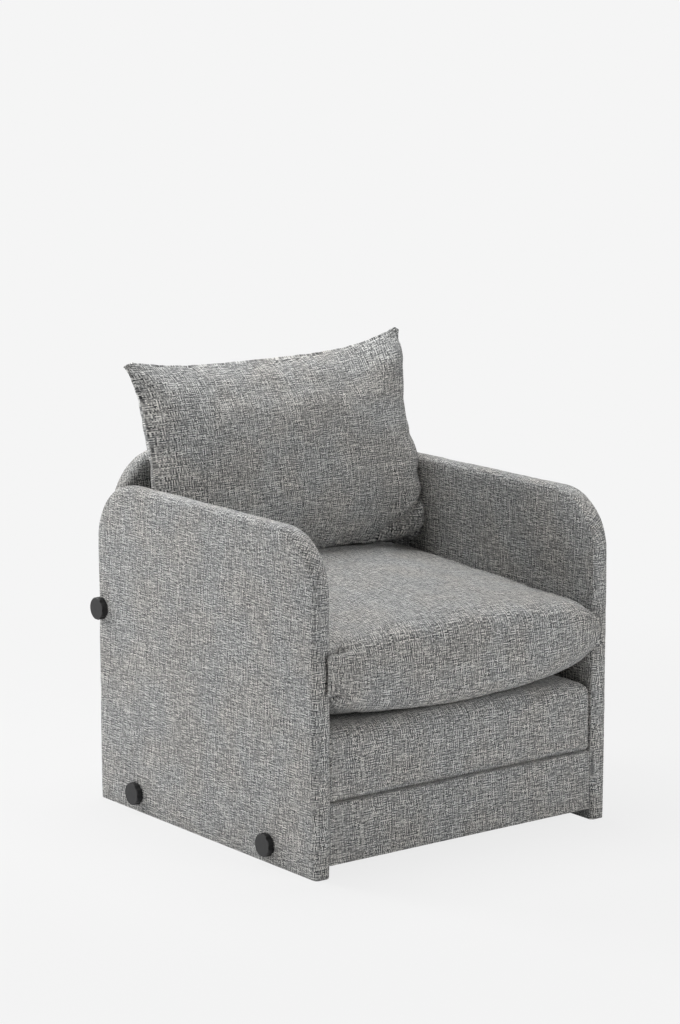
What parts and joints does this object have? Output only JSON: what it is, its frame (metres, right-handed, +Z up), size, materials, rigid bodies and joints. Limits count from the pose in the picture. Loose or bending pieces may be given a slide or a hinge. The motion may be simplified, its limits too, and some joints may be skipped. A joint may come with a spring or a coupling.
{
  "type": "convertible chair bed",
  "caption": "Upholstered armchair whose layered seat unfolds forwards to a single bed, with bolt-on slab arms, a low back panel and a loose back cushion.",
  "frame": {"origin": "on the floor, midway between the arms and midway along their depth", "axes": "+X to the right as seen from the front, +Y from the front to the back panel, +Z up"},
  "size_m": [0.7072, 0.7143, 0.8547],
  "materials": {
    "woven_cover": "matte",
    "foam": "matte",
    "fibre": "matte",
    "board": "matte",
    "pine": "matte",
    "dust_cloth": "matte",
    "black_plastic": "matte",
    "zinc_steel": "satin"
  },
  "bodies": {
    "chair_frame": {"left_arm_cover": "woven_cover", "right_arm_cover": "woven_cover", "back_cover": "woven_cover", "base_cover": "woven_cover", "left_arm_foam": "foam", "right_arm_foam": "foam", "back_foam": "foam", "base_foam": "foam", "left_arm_board": "board", "right_arm_board": "board", "back_board": "board", "base_deck": "board", "base_left_rail": "pine", "base_right_rail": "pine", "base_front_rail": "pine", "base_middle_rail": "pine", "base_rear_rail": "pine", "base_corner_blocks": "pine", "base_dust_cover": "dust_cloth", "base_feet": "black_plastic", "base_t_nuts": "zinc_steel", "back_insert_nuts": "zinc_steel", "back_bolts": "zinc_steel", "deck_screws": "zinc_steel", "foot_screws": "zinc_steel", "front_hinge_lower_leaf": "woven_cover"},
    "middle_section": {"middle_cover": "woven_cover", "middle_foam": "foam", "front_hinge_upper_leaf": "woven_cover", "rear_hinge_lower_leaf": "woven_cover"},
    "seat_pad": {"seat_cover": "woven_cover", "seat_fibre_wrap": "fibre", "seat_foam": "foam", "rear_hinge_upper_leaf": "woven_cover"},
    "back_cushion": {"back_cushion_cover": "woven_cover", "back_cushion_fill": "fibre"},
    "left_front_washer": {"left_front_washer": "zinc_steel"},
    "left_front_knob": {"left_front_knob": "black_plastic", "left_front_stud": "zinc_steel"},
    "left_rear_washer": {"left_rear_washer": "zinc_steel"},
    "left_rear_knob": {"left_rear_knob": "black_plastic", "left_rear_stud": "zinc_steel"},
    "left_back_washer": {"left_back_washer": "zinc_steel"},
    "left_back_knob": {"left_back_knob": "black_plastic", "left_back_stud": "zinc_steel"},
    "right_front_washer": {"right_front_washer": "zinc_steel"},
    "right_front_knob": {"right_front_knob": "black_plastic", "right_front_stud": "zinc_steel"},
    "right_rear_washer": {"right_rear_washer": "zinc_steel"},
    "right_rear_knob": {"right_rear_knob": "black_plastic", "right_rear_stud": "zinc_steel"},
    "right_back_washer": {"right_back_washer": "zinc_steel"},
    "right_back_knob": {"right_back_knob": "black_plastic", "right_back_stud": "zinc_steel"}
  },
  "joints": [
    {"name": "middle_section_fold", "type": "hinge", "parent": "chair_frame", "child": "middle_section", "pos_m": [0, -0.3453, 0.1343], "axis": [1, 0, 0], "range_deg": [0, 180]},
    {"name": "seat_pad_fold", "type": "hinge", "parent": "middle_section", "child": "seat_pad", "pos_m": [0, 0.3053, 0.2679], "axis": [1, 0, 0], "range_deg": [-180, 0]},
    {"name": "back_cushion_lift", "type": "slide", "parent": "seat_pad", "child": "back_cushion", "axis": [0, 0, 1], "range_m": [0, 0.45]},
    {"name": "left_front_washer_slide", "type": "slide", "parent": "chair_frame", "child": "left_front_washer", "axis": [-1, 0, 0], "range_m": [0, 0.0125]},
    {"name": "left_front_knob_turn", "type": "hinge", "parent": "left_front_washer", "child": "left_front_knob", "pos_m": [-0.34, -0.203, 0.035], "axis": [-1, 0, 0], "range_deg": [0, 3600]},
    {"name": "left_rear_washer_slide", "type": "slide", "parent": "chair_frame", "child": "left_rear_washer", "axis": [-1, 0, 0], "range_m": [0, 0.0125]},
    {"name": "left_rear_knob_turn", "type": "hinge", "parent": "left_rear_washer", "child": "left_rear_knob", "pos_m": [-0.34, 0.22, 0.035], "axis": [-1, 0, 0], "range_deg": [0, 3600]},
    {"name": "left_back_washer_slide", "type": "slide", "parent": "chair_frame", "child": "left_back_washer", "axis": [-1, 0, 0], "range_m": [0, 0.0125]},
    {"name": "left_back_knob_turn", "type": "hinge", "parent": "left_back_washer", "child": "left_back_knob", "pos_m": [-0.34, 0.333, 0.375], "axis": [-1, 0, 0], "range_deg": [0, 3600]},
    {"name": "right_front_washer_slide", "type": "slide", "parent": "chair_frame", "child": "right_front_washer", "axis": [1, 0, 0], "range_m": [0, 0.0125]},
    {"name": "right_front_knob_turn", "type": "hinge", "parent": "right_front_washer", "child": "right_front_knob", "pos_m": [0.34, -0.203, 0.035], "axis": [1, 0, 0], "range_deg": [0, 3600]},
    {"name": "right_rear_washer_slide", "type": "slide", "parent": "chair_frame", "child": "right_rear_washer", "axis": [1, 0, 0], "range_m": [0, 0.0125]},
    {"name": "right_rear_knob_turn", "type": "hinge", "parent": "right_rear_washer", "child": "right_rear_knob", "pos_m": [0.34, 0.22, 0.035], "axis": [1, 0, 0], "range_deg": [0, 3600]},
    {"name": "right_back_washer_slide", "type": "slide", "parent": "chair_frame", "child": "right_back_washer", "axis": [1, 0, 0], "range_m": [0, 0.0125]},
    {"name": "right_back_knob_turn", "type": "hinge", "parent": "right_back_washer", "child": "right_back_knob", "pos_m": [0.34, 0.333, 0.375], "axis": [1, 0, 0], "range_deg": [0, 3600]}
  ],
  "couplings": [
    {"joint": "seat_pad_fold", "follows": "middle_section_fold", "ratio": -1},
    {"joint": "left_front_washer_slide", "follows": "left_front_knob_turn", "m_per_rad": 0.00019894},
    {"joint": "left_rear_washer_slide", "follows": "left_rear_knob_turn", "m_per_rad": 0.00019894},
    {"joint": "left_back_washer_slide", "follows": "left_back_knob_turn", "m_per_rad": 0.00019894},
    {"joint": "right_front_washer_slide", "follows": "right_front_knob_turn", "m_per_rad": 0.00019894},
    {"joint": "right_rear_washer_slide", "follows": "right_rear_knob_turn", "m_per_rad": 0.00019894},
    {"joint": "right_back_washer_slide", "follows": "right_back_knob_turn", "m_per_rad": 0.00019894}
  ]
}
